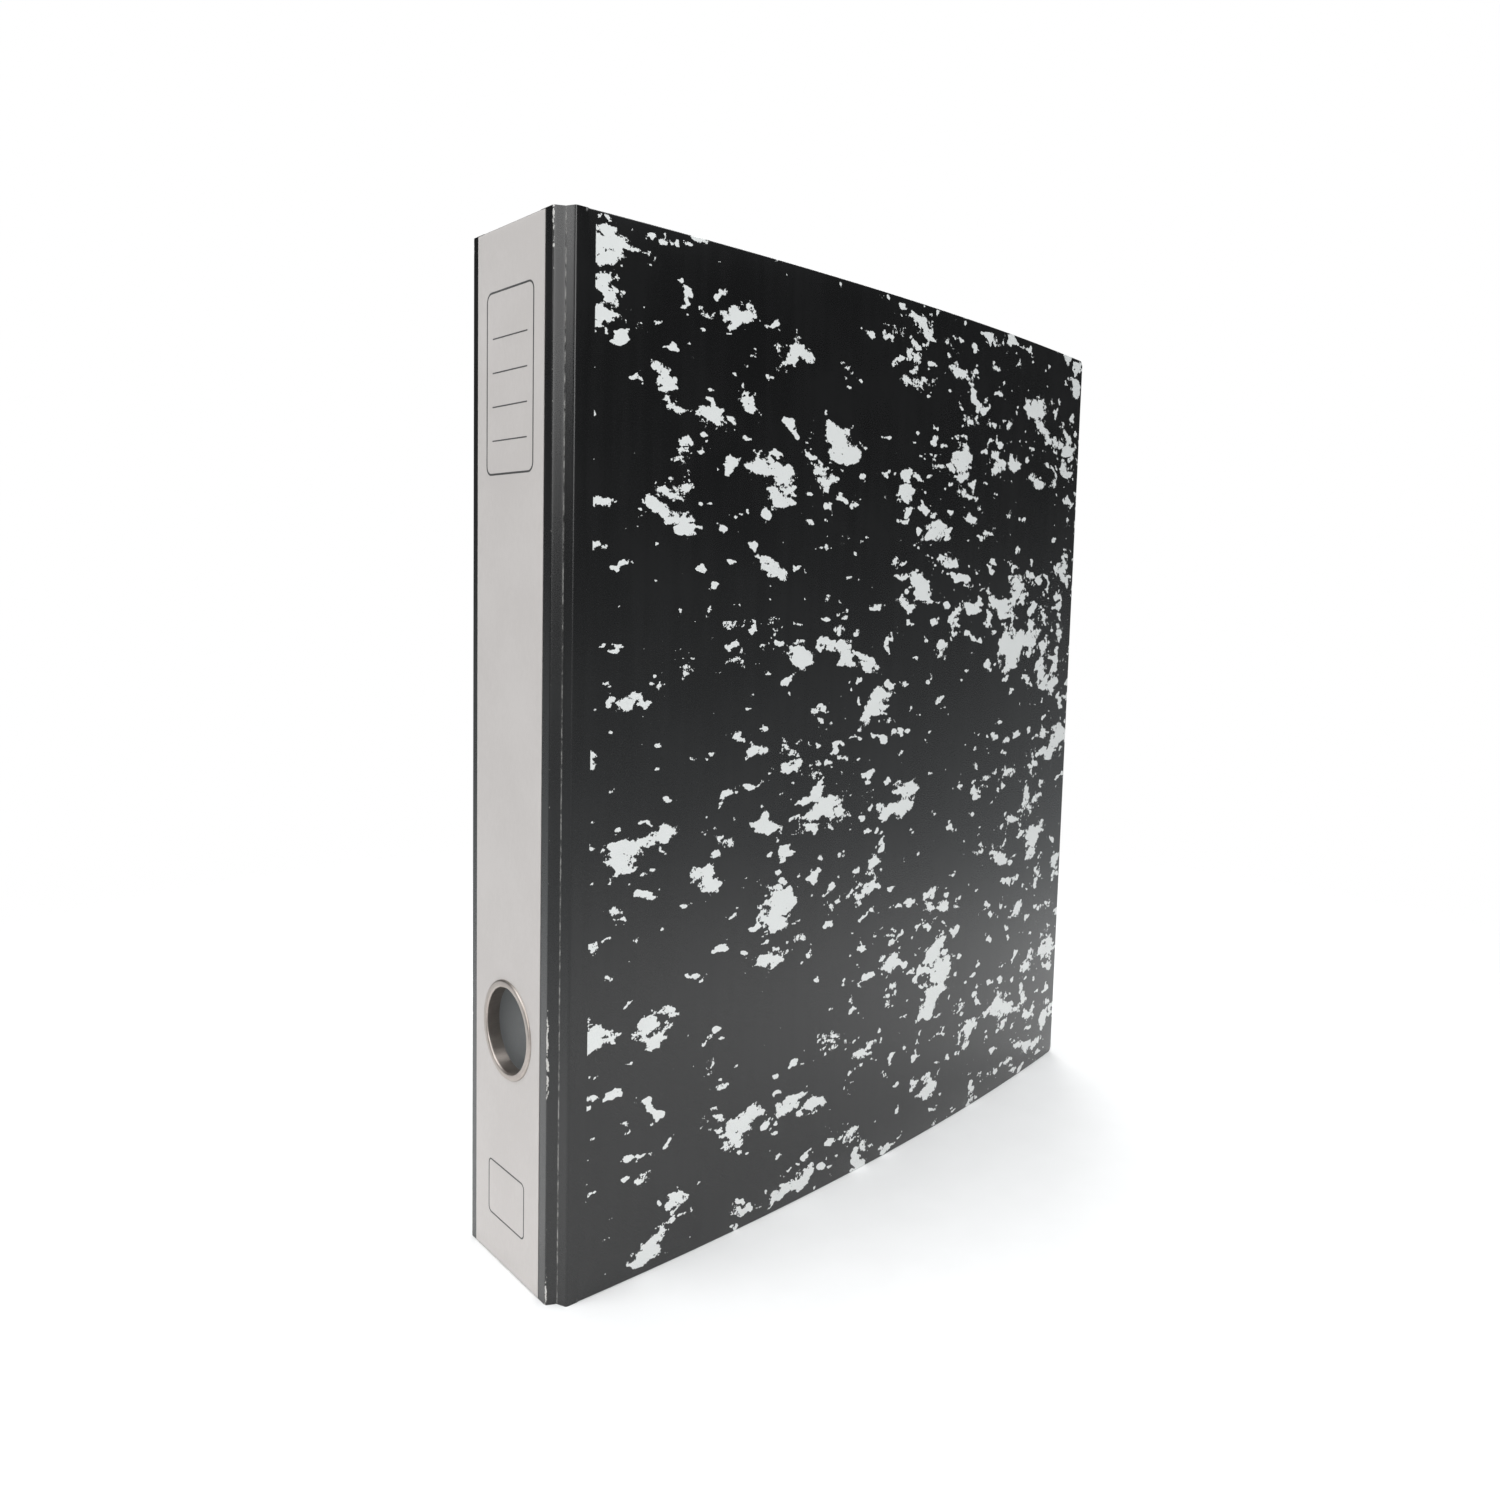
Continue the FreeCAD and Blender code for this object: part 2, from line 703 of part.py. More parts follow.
def make_leaf_spring():
    """The blade that lifts the crank, held down: flat at its riveted root, rising a little to its tip."""
    body = new_body("leaf_spring", MECHANISM, MECHANISM_TURN)
    sketch = new_sketch(body, "XZ_Plane")
    draw_polygon(
        sketch,
        [
            ("spring_root", "plate"),
            ("spring_root", "spring_top"),
            ("spring_bend", "spring_top"),
            ("spring_tip", "spring_top + spring_rise"),
            ("spring_tip", "plate + spring_rise"),
            ("spring_bend", "plate"),
        ],
    )
    extrude(body, sketch, "spring_width", middle=True)
    sketch = new_sketch(body, "XY_Plane", "plate")
    for across in ("spring_rivet_near", "spring_rivet_far"):
        draw_circle(sketch, across, "0", "spring_rivet_shank + seat_clearance")
    extrude(body, sketch, "spring_sheet", reverse=True, cut=True)


def make_rivets(label, spots, profile):
    """A group of like rivets: profile lists (radius, from height, to height) for each one's coaxial parts."""
    group = document.addObject("Part::Compound", label)
    rivets = []
    for across, along in spots:
        lengths = []
        for radius, low, high in profile:
            cylinder = document.addObject("Part::Cylinder", "Cylinder")
            cylinder.setExpression("Radius", bound(radius))
            cylinder.setExpression("Height", bound(f"({high}) - ({low})"))
            place(cylinder, ("0", "0", "0"), FreeCAD.Rotation(), (across, along, low))
            lengths.append(cylinder)
        rivet = document.addObject("Part::MultiFuse", "Rivet")
        rivet.Shapes = lengths
        rivets.append(rivet)
    group.Links = rivets
    place(group, MECHANISM, MECHANISM_TURN)
    keep(group, label)


def make_compressor():
    """The channel-shaped bar that holds the papers down, and the two plastic bushes that ride on the posts."""
    bar = new_body("compressor_bar", MECHANISM, MECHANISM_TURN)
    sketch = new_sketch(bar, "XY_Plane", "bar_bottom")
    near_side, far_side = "post_place - bar_width / 2", "post_place + bar_width / 2"
    draw_rectangle(sketch, near_side, "-bar_length / 2", far_side, "bar_length / 2")
    extrude(bar, sketch, "bar_top - bar_bottom")

    def at_corner(edge):
        across = edge.CenterOfMass.x
        return runs_along(edge, 2) and (near(across, near_side) or near(across, far_side))

    dress(bar, "Fillet", "bar_round", at_corner)
    sketch = new_sketch(bar, "XY_Plane", "bar_bottom")
    draw_rectangle(sketch, f"{near_side} + bar_sheet", "-bar_length", f"{far_side} - bar_sheet", "bar_length")
    extrude(bar, sketch, "bar_under - bar_bottom", reverse=True, cut=True)
    sketch = new_sketch(bar, "XY_Plane", "bar_under")
    for side in (1, -1):
        draw_circle(sketch, "post_place", f"{side} * half_posts", "bush_hole")
    extrude(bar, sketch, "bar_sheet", reverse=True, cut=True)
    for name, side in (("upper", 1), ("lower", -1)):
        base_shift = ("post_place", f"{side} * half_posts", "0")
        bush = new_body(f"compressor_bush_{name}", MECHANISM, MECHANISM_TURN, base_shift)
        sketch = new_sketch(bush, "XZ_Plane")
        bore = "post_radius + bush_clearance"
        draw_polygon(
            sketch,
            [
                (bore, "bar_under - bush_lower"),
                ("bush_flange", "bar_under - bush_lower"),
                ("bush_flange", "bar_under"),
                ("bush_barrel", "bar_under"),
                ("bush_barrel", "bar_top"),
                ("bush_flange", "bar_top"),
                ("bush_flange", "bar_top + bush_upper"),
                (bore, "bar_top + bush_upper"),
            ],
        )
        revolve(bush, sketch)


make_spine_layer(
    "spine_label", "-label_thickness", "label_thickness", "label_width / 2", "label_offset", "finger_label_cut"
)
make_spine_layer("spine_paper", "0", "paper", "half_spine")
make_spine_layer("spine_board", "paper", "board", "half_spine")
make_spine_layer("spine_lining", "paper + board", "lining", "half_spine")
for cover, make_layer in (("front", make_front_layer), ("back", make_back_layer)):
    make_layer(f"{cover}_cover_paper", "0", "paper")
    make_layer(f"{cover}_board", "paper", "board")
    make_layer(f"{cover}_lining", "paper + board", "lining")
make_hinge_strip("front_hinge_strip", 1)
make_hinge_strip("back_hinge_strip", -1)
make_finger_rings()

make_base_plate()
make_rivets(
    "mechanism_rivets",
    [(across, f"{side} * rivet_up") for across in RIVET_PLACES for side in (1, -1)],
    [
        ("rivet_head", "-wall - rivet_proud", "-wall"),
        ("rivet_shank", "-wall", "plate"),
        ("rivet_clinch", "plate", "plate + rivet_clinch_height"),
    ],
)
make_post("post_upper", 1)
make_post("post_lower", -1)
make_arch_wire()
make_lever()
make_headed_pin(
    "lever_pivot_pin", "pivot_place", "pivot_height", "pivot_radius", "ear_outer", "pin_head", "pin_head_height"
)
make_roller()
make_headed_pin(
    "roller_axle", "roller_place", "roller_height", "axle_radius", "lever_half", "axle_head", "axle_head_height"
)
make_leaf_spring()
make_rivets(
    "spring_rivets",
    [("spring_rivet_near", "0"), ("spring_rivet_far", "0")],
    [
        ("spring_rivet_shank", "0", "spring_top"),
        ("spring_rivet_head", "spring_top", "spring_top + spring_rivet_height"),
    ],
)
make_compressor()

document.recompute()
failed = [thing.Label for thing in document.Objects if {"Invalid", "Error"} & set(thing.State)]
failed += [thing.Label for thing in sub_parts if thing.Shape.isNull() or not thing.Shape.isValid()]
if failed:
    raise ValueError(f"these did not build: {failed}")
os.makedirs("parts", exist_ok=True)
for thing in sub_parts:
    thing.Shape.exportStep(f"parts/{thing.Label}.step")
    box = thing.Shape.BoundBox
    corners = [round(c, 2) for c in (box.XMin, box.YMin, box.ZMin, box.XMax, box.YMax, box.ZMax)]
    print(f"{thing.Label}: {len(thing.Shape.Solids)} solid, {thing.Shape.Volume:.1f} mm3, {corners}")
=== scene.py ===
import json
import math

import bmesh
import bpy
from mathutils import Matrix, Vector


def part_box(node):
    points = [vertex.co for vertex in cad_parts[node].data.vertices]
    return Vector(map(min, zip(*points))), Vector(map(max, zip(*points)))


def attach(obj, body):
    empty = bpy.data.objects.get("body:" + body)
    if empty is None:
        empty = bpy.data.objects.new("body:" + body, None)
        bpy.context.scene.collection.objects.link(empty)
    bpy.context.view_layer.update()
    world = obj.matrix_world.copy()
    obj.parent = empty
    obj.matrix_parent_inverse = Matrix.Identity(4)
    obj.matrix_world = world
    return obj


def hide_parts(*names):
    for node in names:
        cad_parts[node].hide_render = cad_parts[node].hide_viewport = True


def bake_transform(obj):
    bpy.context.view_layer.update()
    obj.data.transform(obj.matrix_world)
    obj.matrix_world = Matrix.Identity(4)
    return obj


# The looks of a lever arch file: a black wrapped case with a ragged white marbled print, a light spine
# label, a satin finger ring and a plated mechanism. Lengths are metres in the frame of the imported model.

MM = 0.001
SHARP_ANGLE = 38
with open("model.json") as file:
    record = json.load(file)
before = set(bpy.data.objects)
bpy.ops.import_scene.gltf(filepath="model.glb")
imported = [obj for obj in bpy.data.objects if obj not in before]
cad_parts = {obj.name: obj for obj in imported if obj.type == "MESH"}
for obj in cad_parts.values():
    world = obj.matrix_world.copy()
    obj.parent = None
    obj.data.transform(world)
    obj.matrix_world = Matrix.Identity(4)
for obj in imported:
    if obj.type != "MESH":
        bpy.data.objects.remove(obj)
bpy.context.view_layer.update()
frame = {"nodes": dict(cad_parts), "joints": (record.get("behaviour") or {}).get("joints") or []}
scene = bpy.context.scene

# ---- places taken from the frame ----

SPINE_LOW, SPINE_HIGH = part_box("spine_paper")
COVER_LOW, COVER_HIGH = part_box("front_cover_paper")
BACK_LOW, BACK_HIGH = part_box("back_cover_paper")
_, LINING_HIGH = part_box("back_lining")
LABEL_LOW, LABEL_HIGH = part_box("spine_label")
RING_LOW, RING_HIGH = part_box("finger_ring_outer")

HEIGHT = SPINE_HIGH.z
RING_HEIGHT = (RING_LOW.z + RING_HIGH.z) / 2
MIDDLE_X = (SPINE_LOW.x + SPINE_HIGH.x) / 2
HALF_SPINE = (SPINE_HIGH.x - SPINE_LOW.x) / 2
FACE_Y = SPINE_LOW.y
SHOULDER_X = COVER_HIGH.x - MIDDLE_X
SHOULDER_Y = COVER_LOW.y - FACE_Y
FREE_Y = COVER_HIGH.y - FACE_Y
WALL = LINING_HIGH.x - BACK_LOW.x
PAPER = BACK_HIGH.x - BACK_LOW.x
HINGES = {joint["name"]: Vector(joint["pos_m"]) for joint in frame["joints"] if joint["type"] == "hinge"}
GROOVE = HINGES["front_hinge"] - Vector((MIDDLE_X, FACE_Y, 0))

# The board and its wrap together, without the lining that is laid on last.
CORE = WALL - PAPER
LINING_INSET = 7 * MM
EDGE = 0.4 * MM
HINGE_EDGE = 0.22 * MM
CORNER = 2.5 * MM
# The wrap that crosses a hinge is one piece from here on the spine to here on the cover.
SPINE_SEAM = 17.5 * MM
COVER_SEAM = 4 * MM
# The lining that crosses it reaches a little further each way.
LINING_SEAM = SPINE_SEAM - 1 * MM
COVER_LINING_SEAM = COVER_SEAM + 1 * MM
# The finger ring: its bore, its barrel and the washer and lip inside.
RING_BORE = 13.2 * MM
RING_BARREL = 0.6 * MM
RING_LIP = 1.25 * MM
RING_WASHER = 0.6 * MM
# The holes that the ring passes through, each a little wider than the one before it.
WRAP_HOLE = 14.0 * MM
LINING_HOLE = 14.1 * MM
LABEL_HOLE = 14.2 * MM
HOLE_LENGTH = 20 * MM


class Bow:
    """The front cover's outer face: an arc from the shoulder, tilted inwards at once and ever more."""

    start = math.radians(1.3)
    free_x = COVER_LOW.x - MIDDLE_X + PAPER
    chord = math.hypot(SHOULDER_X - free_x, FREE_Y - SHOULDER_Y)
    turn = 2 * (math.atan2(SHOULDER_X - free_x, FREE_Y - SHOULDER_Y) - start)
    radius = chord / (2 * math.sin(turn / 2))
    length = radius * turn
    centre_x = SHOULDER_X - radius * math.cos(start)
    centre_y = SHOULDER_Y - radius * math.sin(start)


def front_point(along, up, depth):
    """A point of the front cover: along from the shoulder, up, and depth in from its outer face."""
    angle = Bow.start + along / Bow.radius
    reach = Bow.radius - depth
    across = Bow.centre_x + reach * math.cos(angle)
    return Vector((MIDDLE_X + across, FACE_Y + Bow.centre_y + reach * math.sin(angle), up))


def back_point(along, up, depth):
    """The same for the flat back cover."""
    return Vector((MIDDLE_X - SHOULDER_X + depth, FACE_Y + SHOULDER_Y + along, up))


BACK_LENGTH = FREE_Y - SHOULDER_Y

# ---- mesh helpers ----


def new_object(name, mesh):
    thing = bpy.data.objects.new(name, mesh)
    scene.collection.objects.link(thing)
    return thing


def mark_edges(bm, sharp_angle):
    """Shades every face smooth and keeps the edges sharp that turn by more than sharp_angle degrees."""
    bm.normal_update()
    for face in bm.faces:
        face.smooth = True
    for edge in bm.edges:
        edge.smooth = edge.calc_face_angle(0) < math.radians(sharp_angle)


def from_bmesh(name, bm, sharp_angle=SHARP_ANGLE):
    """Turns a bmesh into an object, smooth but for edges sharper than sharp_angle degrees."""
    bmesh.ops.remove_doubles(bm, verts=bm.verts, dist=1e-7)
    bmesh.ops.recalc_face_normals(bm, faces=bm.faces)
    mark_edges(bm, sharp_angle)
    mesh = bpy.data.meshes.new(name)
    bm.to_mesh(mesh)
    bm.free()
    return new_object(name, mesh)


def set_flat(thing, unroll):
    """Stores on each vertex where it lies on the unrolled sheet, which the materials read as 'flat'."""
    attribute = thing.data.attributes.new("flat", "FLOAT_VECTOR", "POINT")
    for number, vertex in enumerate(thing.data.vertices):
        attribute.data[number].vector = unroll(vertex.co)
    return thing


def unroll_front(co):
    x = co.x - MIDDLE_X - Bow.centre_x
    y = co.y - FACE_Y - Bow.centre_y
    return Vector(((math.atan2(y, x) - Bow.start) * Bow.radius, co.z, Bow.radius - math.hypot(x, y)))


def unroll_back(co):
    # The back cover shows another stretch of the same endless print.
    return Vector((co.y - FACE_Y - SHOULDER_Y, co.z + 1, co.x - MIDDLE_X + SHOULDER_X))


def slab(name, point, length, thickness, unroll, start=0.0, inset=0.0, lift=0.0, edge=EDGE, corner=CORNER):
    """A wrapped board: a grid of faces on both sides, soft edges, and round corners at its free end."""
    columns, rows, corner_steps, edge_steps = 56, 24, 6, 4
    top = HEIGHT - inset
    end = length - inset

    def ring_grid(shrink, depth):
        round_off = max(corner - shrink, 0.05 * MM)
        stops = [(start + (end - shrink - round_off - start) * i / columns, 0.0) for i in range(columns)]
        for step in range(corner_steps + 1):
            turn = math.pi / 2 * step / corner_steps
            reach = end - shrink - round_off + round_off * math.sin(turn)
            stops.append((reach, round_off * (1 - math.cos(turn))))
        grid = []
        for along, pinch in stops:
            low = inset + shrink + pinch
            high = top - shrink - pinch
            grid.append([point(along, low + (high - low) * j / rows, depth + lift) for j in range(rows + 1)])
        return grid

    bm = bmesh.new()

    def boundary(grid):
        last = len(grid) - 1
        loop = [grid[i][0] for i in range(last + 1)]
        loop += [grid[last][j] for j in range(1, rows + 1)]
        loop += [grid[i][rows] for i in range(last - 1, -1, -1)]
        loop += [grid[0][j] for j in range(rows - 1, 0, -1)]
        return loop

    def make(grid):
        return [[bm.verts.new(co) for co in column] for column in grid]

    def fill(grid):
        for left, right in zip(grid, grid[1:]):
            for j in range(rows):
                bm.faces.new((left[j], right[j], right[j + 1], left[j + 1]))

    outer = make(ring_grid(edge, 0.0))
    inner = make(ring_grid(edge, thickness))
    fill(outer)
    fill(inner)
    loops = [boundary(outer)]
    turns = [math.pi / 2 * step / edge_steps for step in range(1, edge_steps + 1)]
    sides = [(edge * (1 - math.sin(t)), edge * (1 - math.cos(t))) for t in turns]
    for shrink, depth in sides + [(s, thickness - d) for s, d in reversed(sides)]:
        loops.append([bm.verts.new(co) for co in boundary(ring_grid(shrink, depth))])
    loops.append(boundary(inner))
    for one, two in zip(loops, loops[1:]):
        for k in range(len(one)):
            nxt = (k + 1) % len(one)
            bm.faces.new((one[k], one[nxt], two[nxt], two[k]))
    return set_flat(from_bmesh(name, bm), unroll)


def rounded(corners, radii, steps=7):
    """A 2-D line through the corners with each inner corner rounded."""
    line = [Vector(corners[0])]
    for before, corner, after, radius in zip(corners, corners[1:], corners[2:], radii):
        before, corner, after = Vector(before), Vector(corner), Vector(after)
        arriving = (before - corner).normalized()
        leaving = (after - corner).normalized()
        half = arriving.angle(leaving) / 2
        if radius <= 0 or half > math.radians(89):
            line.append(corner)
            continue
        reach = radius / math.tan(half)
        centre = corner + (arriving + leaving).normalized() * (radius / math.sin(half))
        first = corner + arriving * reach - centre
        last = corner + leaving * reach - centre
        sweep = first.angle_signed(last)
        for step in range(steps + 1):
            line.append(centre + Matrix.Rotation(-sweep * step / steps, 2) @ first)
    line.append(Vector(corners[-1]))
    return line


def refined(line, longest=0.6 * MM):
    """The same line with points added wherever two are further apart than the longest step."""
    fine = [line[0]]
    for one, two in zip(line, line[1:]):
        pieces = max(1, math.ceil((two - one).length / longest))
        fine += [one.lerp(two, piece / pieces) for piece in range(1, pieces + 1)]
    return fine


def offset(line, distance):
    """The line moved to its left by a distance."""
    moved = []
    for number, spot in enumerate(line):
        run = line[min(number + 1, len(line) - 1)] - line[max(number - 1, 0)]
        moved.append(spot + Vector((-run.y, run.x)).normalized() * distance)
    return moved


def prism(name, outline, low, high, bevel):
    """A closed outline in the floor's plane, drawn up from low to high, with its rims bevelled."""
    bm = bmesh.new()
    # Two more rings, near the ends, keep the rims' soft shading away from the long sides.
    margin = min(1.5 * MM, (high - low) / 4)
    levels = (low, low + margin, high - margin, high)
    rings = [[bm.verts.new((MIDDLE_X + p.x, FACE_Y + p.y, z)) for p in outline] for z in levels]
    count = len(outline)
    for below, above in zip(rings, rings[1:]):
        for k in range(count):
            nxt = (k + 1) % count
            bm.faces.new((below[k], below[nxt], above[nxt], above[k]))
    caps = [bm.faces.new(rings[0][::-1]), bm.faces.new(rings[-1])]
    if bevel > 0:
        rims = [edge for cap in caps for edge in cap.edges]
        bmesh.ops.bevel(
            bm, geom=rims, offset=bevel, segments=3, profile=0.5, affect="EDGES", clamp_overlap=True
        )
    return from_bmesh(name, bm)


def cylinder_cutter(radius, centre, length, axis_turn):
    bm = bmesh.new()
    bmesh.ops.create_cone(bm, cap_ends=True, segments=128, radius1=radius, radius2=radius, depth=length)
    bmesh.ops.transform(bm, matrix=Matrix.Translation(centre) @ axis_turn, verts=bm.verts)
    mesh = bpy.data.meshes.new("cutter")
    bm.to_mesh(mesh)
    bm.free()
    return new_object("cutter", mesh)


def pierce(thing, radius, centre, length):
    """Cuts a round hole along Y through a finished piece."""
    cutter = cylinder_cutter(radius, centre, length, Matrix.Rotation(math.pi / 2, 4, "X"))
    modifier = thing.modifiers.new("hole", "BOOLEAN")
    modifier.operation = "DIFFERENCE"
    modifier.solver = "EXACT"
    modifier.object = cutter
    bpy.context.view_layer.update()
    cut = bpy.data.meshes.new_from_object(thing.evaluated_get(bpy.context.evaluated_depsgraph_get()))
    thing.modifiers.clear()
    bpy.data.objects.remove(cutter)
    bm = bmesh.new()
    bm.from_mesh(cut)
    mark_edges(bm, SHARP_ANGLE)
    bm.to_mesh(cut)
    bm.free()
    thing.data = cut


def lathe(name, profile, centre, segments=144):
    """A profile of (radius, distance along +Y) turned about an axis through centre along Y."""
    bm = bmesh.new()
    rings = []
    for k in range(segments):
        angle = 2 * math.pi * k / segments
        across, up = math.cos(angle), math.sin(angle)
        rings.append([bm.verts.new(centre + Vector((r * across, y, r * up))) for r, y in profile])
    for one, two in zip(rings, rings[1:] + rings[:1]):
        for k in range(len(profile)):
            nxt = (k + 1) % len(profile)
            bm.faces.new((one[k], one[nxt], two[nxt], two[k]))
    return from_bmesh(name, bm, 50)


# ---- materials ----


class Shade:
    """A material whose nodes are made by short calls."""

    def __init__(self, name):
        self.material = bpy.data.materials.new(name)
        self.material.use_nodes = True
        self.tree = self.material.node_tree
        self.shader = self.tree.nodes["Principled BSDF"]

    def node(self, kind, **inputs):
        node = self.tree.nodes.new(kind)
        for key, content in inputs.items():
            self.feed(node.inputs[key.replace("_", " ")], content)
        return node

    def feed(self, socket, content):
        if isinstance(content, bpy.types.NodeSocket):
            self.tree.links.new(content, socket)
        else:
            socket.default_value = content

    def flat(self):
        node = self.node("ShaderNodeAttribute")
        node.attribute_name = "flat"
        return node.outputs["Vector"]

    def place(self):
        return self.node("ShaderNodeTexCoord").outputs["Object"]

    def split(self, vector):
        return self.node("ShaderNodeSeparateXYZ", Vector=vector).outputs

    def stretch(self, vector, scale, shift=(0, 0, 0)):
        return self.node("ShaderNodeMapping", Vector=vector, Scale=scale, Location=shift).outputs["Vector"]

    def noise(self, vector, scale, detail, roughness):
        node = self.node("ShaderNodeTexNoise", Vector=vector, Scale=scale, Detail=detail, Roughness=roughness)
        return node.outputs["Fac"]

    def sum(self, *terms, operation="ADD"):
        total = terms[0]
        for term in terms[1:]:
            node = self.tree.nodes.new("ShaderNodeMath")
            node.operation = operation
            self.feed(node.inputs[0], total)
            self.feed(node.inputs[1], term)
            total = node.outputs[0]
        return total

    def times(self, *terms):
        return self.sum(*terms, operation="MULTIPLY")

    def away(self, amount, centre):
        """How far an amount is from a centre, either way."""
        above = self.sum(amount, -centre)
        below = self.sum(centre, self.times(amount, -1))
        return self.sum(above, below, operation="MAXIMUM")

    def step(self, amount, low, high, to_low=0.0, to_high=1.0):
        """Rises smoothly from to_low to to_high as amount goes from low to high."""
        node = self.tree.nodes.new("ShaderNodeMapRange")
        node.interpolation_type = "SMOOTHSTEP"
        for socket, content in zip(node.inputs, (amount, low, high, to_low, to_high)):
            self.feed(socket, content)
        return node.outputs["Result"]

    def mix(self, share, one, two):
        node = self.tree.nodes.new("ShaderNodeMix")
        node.data_type = "RGBA"
        self.feed(node.inputs[0], share)
        self.feed(node.inputs[6], one)
        self.feed(node.inputs[7], two)
        return node.outputs[2]

    def bump(self, height, distance, strength=1.0):
        node = self.node("ShaderNodeBump", Height=height, Strength=strength, Distance=distance)
        self.feed(self.shader.inputs["Normal"], node.outputs["Normal"])

    def set(self, **inputs):
        for key, content in inputs.items():
            self.feed(self.shader.inputs[key.replace("_", " ")], content)


def colour(red, green, blue):
    return (red, green, blue, 1.0)


PRINT_WHITE = colour(0.75, 0.765, 0.755)
BLACK_FILM = colour(0.0042, 0.0042, 0.0044)
BLACK_FILM_PALE = colour(0.0068, 0.0068, 0.0071)
WORN_PAPER = colour(0.50, 0.49, 0.47)


def black_film(shade, flat):
    """The black of the wrap, faintly streaked along its height, and its smooth uneven gloss."""
    streaks = shade.noise(shade.stretch(flat, (1, 0.06, 1)), 220, 3, 0.6)
    clouds = shade.noise(flat, 26, 3, 0.5)
    shade_of_black = shade.step(shade.sum(shade.times(streaks, 0.5), shade.times(clouds, 0.5)), 0.4, 0.62)
    fine = shade.noise(flat, 2600, 2, 0.5)
    shade.set(Roughness=shade.sum(shade.times(clouds, 0.1), shade.times(fine, 0.08), 0.19))
    shade.set(Specular_IOR_Level=0.5, Coat_Weight=0.3, Coat_Roughness=0.2)
    shade.bump(shade.sum(shade.times(fine, 0.25), shade.times(streaks, 0.75)), 0.00004, 0.5)
    return shade.mix(shade_of_black, BLACK_FILM, BLACK_FILM_PALE)


def marbling(shade, flat):
    """How white the print is: torn blots in clusters, small scraps beside them and scattered specks."""
    along = shade.split(flat)[0]
    wide = shade.stretch(flat, (0.62, 1, 1))
    torn = shade.sum(shade.noise(flat, 620, 2, 0.8), -0.5)
    clusters = shade.sum(shade.noise(wide, 22, 2, 0.5), -0.5)
    crowd = shade.sum(shade.times(clusters, 0.26), shade.times(shade.sum(along, -0.13), 0.1))
    blots = shade.noise(shade.stretch(wide, (1, 1, 1), (2, 9, 0)), 70, 3, 0.58)
    scraps = shade.noise(shade.stretch(wide, (1.1, 1, 1), (3, 5, 0)), 170, 2, 0.5)
    specks = shade.noise(shade.stretch(wide, (1.4, 1, 1), (7, 2, 0)), 420, 2, 0.5)
    ragged = shade.times(torn, 0.15)
    blot = shade.step(shade.sum(blots, ragged, crowd), 0.602, 0.608)
    scrap = shade.step(shade.sum(scraps, ragged, shade.times(crowd, 1.3)), 0.638, 0.644)
    speck = shade.step(shade.sum(specks, shade.times(crowd, 1.6)), 0.76, 0.77)
    return shade.sum(shade.sum(blot, scrap, operation="MAXIMUM"), speck, operation="MAXIMUM")


def make_wrap(name, printed):
    """The wrap. On a cover the print starts along a straight line; across a hinge it is plain but worn."""
    shade = Shade(name)
    flat = shade.flat()
    base = black_film(shade, flat)
    along, up, kind = shade.split(flat)
    if printed:
        ink = shade.times(marbling(shade, flat), shade.step(along, 0.0062, 0.0063))
        rubbed = shade.noise(flat, 1500, 3, 0.7)
        ink = shade.times(ink, shade.step(rubbed, 0.28, 0.36, 0.75, 1.0))
        base = shade.mix(ink, base, PRINT_WHITE)
    else:
        ragged = shade.noise(shade.stretch(flat, (2.4, 1, 1)), 330, 4, 0.7)
        corner = shade.step(shade.away(along, 0.0), 0.0, 0.0011, 1.0, 0.0)
        # The corner is rubbed through at both ends and beside the finger hole, where it is gripped.
        rubbed = shade.step(shade.away(up, RING_HEIGHT), 0.006, 0.019, 1.0, 0.0)
        ends = shade.step(shade.away(up, HEIGHT / 2), HEIGHT / 2 - 0.016, HEIGHT / 2 - 0.002)
        patches = shade.sum(rubbed, ends, operation="MAXIMUM")
        scuffed = shade.sum(shade.times(corner, 0.3), ragged, shade.times(patches, 0.2))
        outside = shade.step(kind, 0.0, 0.2, 1.0, 0.0)
        scuff = shade.times(shade.step(scuffed, 0.93, 0.97), shade.step(corner, 0.0, 0.3), outside)
        crease = shade.step(shade.away(along, 0.0034), 0.00008, 0.0003, 1.0, 0.0)
        crease = shade.times(crease, shade.step(ragged, 0.40, 0.62, 0.04, 0.42))
        worn = shade.sum(scuff, crease, operation="MAXIMUM")
        base = shade.mix(worn, base, WORN_PAPER)
    shade.set(Base_Color=base)
    return shade.material


def make_paper(name, one, two, roughness, grain=1800, fibre=0.00003):
    """A matt sheet: two close tones in soft clouds, with a fibrous surface."""
    shade = Shade(name)
    place = shade.place()
    clouds = shade.noise(place, 30, 4, 0.6)
    fibres = shade.noise(shade.stretch(place, (1, 1, 0.35)), grain, 4, 0.65)
    tone = shade.step(shade.sum(shade.times(clouds, 0.6), shade.times(fibres, 0.4)), 0.38, 0.64)
    shade.set(Base_Color=shade.mix(tone, one, two), Roughness=roughness)
    shade.bump(fibres, fibre, 0.6)
    return shade.material


def make_metal(name, one, two, rough_low, rough_high, along=(1, 1, 1), grain=900):
    """Plated metal with fine directional marks and slightly uneven brightness."""
    shade = Shade(name)
    place = shade.place()
    marks = shade.noise(shade.stretch(place, along), grain, 4, 0.6)
    clouds = shade.noise(place, 160, 3, 0.5)
    tone = shade.step(shade.sum(shade.times(marks, 0.5), shade.times(clouds, 0.5)), 0.36, 0.66)
    shade.set(Base_Color=shade.mix(tone, one, two), Metallic=1.0)
    shade.set(Roughness=shade.step(marks, 0.3, 0.7, rough_low, rough_high))
    shade.bump(marks, 0.00002, 0.4)
    return shade.material


